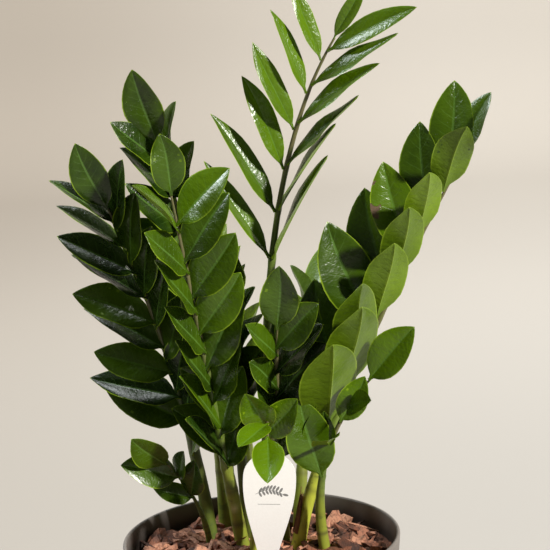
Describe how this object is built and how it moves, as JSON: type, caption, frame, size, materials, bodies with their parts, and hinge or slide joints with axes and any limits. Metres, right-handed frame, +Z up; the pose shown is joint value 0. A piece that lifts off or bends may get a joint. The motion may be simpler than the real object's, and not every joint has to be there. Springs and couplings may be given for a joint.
{
  "type": "potted zz plant",
  "caption": "Potted ZZ plant: arching fleshy stalks with two rows of glossy oval leaflets, rising from bark mulch in a plain round taupe pot, with a blank card tag",
  "frame": {"origin": "centre of the pot's flat base, on the surface it stands on", "axes": "+Z up along the plant; -Y towards the plant's best side; +X to the right as seen from there"},
  "size_m": [0.384, 0.2836, 0.708],
  "materials": {
    "pot": "satin taupe-grey outside and darker brown inside",
    "soil": "dark crumbly potting mix",
    "bark": "rough red-brown bark chips",
    "rhizome": "corky tan tuber skin",
    "stalk": "smooth fleshy green, browner on upper stretches",
    "leaf": "waxy gloss, dark green above and lighter below",
    "tag": "plain white card"
  },
  "bodies": {
    "root": {"bark_chip_01": "bark", "bark_chip_02": "bark", "bark_chip_03": "bark", "bark_chip_04": "bark", "bark_chip_05": "bark", "bark_chip_06": "bark", "bark_chip_07": "bark", "bark_chip_08": "bark", "bark_chip_09": "bark", "bark_mulch": "bark", "frond_back_left": "leaf", "frond_centre": "leaf", "frond_centre_left": "leaf", "frond_front_centre": "leaf", "frond_front_left": "leaf", "frond_left": "leaf", "frond_low_right": "leaf", "frond_rear_left": "leaf", "frond_rear_right": "leaf", "frond_right": "stalk", "frond_small_left": "leaf", "frond_tall": "stalk", "leaflet_right_01": "leaf", "leaflet_right_02": "leaf", "leaflet_right_03": "leaf", "leaflet_right_04": "leaf", "leaflet_right_05": "leaf", "leaflet_right_06": "leaf", "leaflet_right_07": "leaf", "leaflet_right_08": "leaf", "leaflet_right_09": "leaf", "leaflet_right_10": "leaf", "leaflet_right_11": "leaf", "leaflet_right_12": "leaf", "leaflet_right_13": "leaf", "leaflet_right_14": "leaf", "leaflet_right_15": "leaf", "leaflet_right_16": "leaf", "leaflet_tall_01": "leaf", "leaflet_tall_02": "leaf", "leaflet_tall_03": "leaf", "leaflet_tall_04": "leaf", "leaflet_tall_05": "leaf", "leaflet_tall_06": "leaf", "leaflet_tall_07": "leaf", "leaflet_tall_08": "leaf", "leaflet_tall_09": "leaf", "leaflet_tall_10": "leaf", "leaflet_tall_11": "leaf", "leaflet_tall_12": "leaf", "leaflet_tall_13": "leaf", "pot": "pot", "potting_soil": "soil", "rhizome_front": "rhizome", "rhizome_left": "rhizome", "rhizome_rear": "rhizome", "rhizome_right": "rhizome", "tag": "tag"}
  },
  "joints": []
}
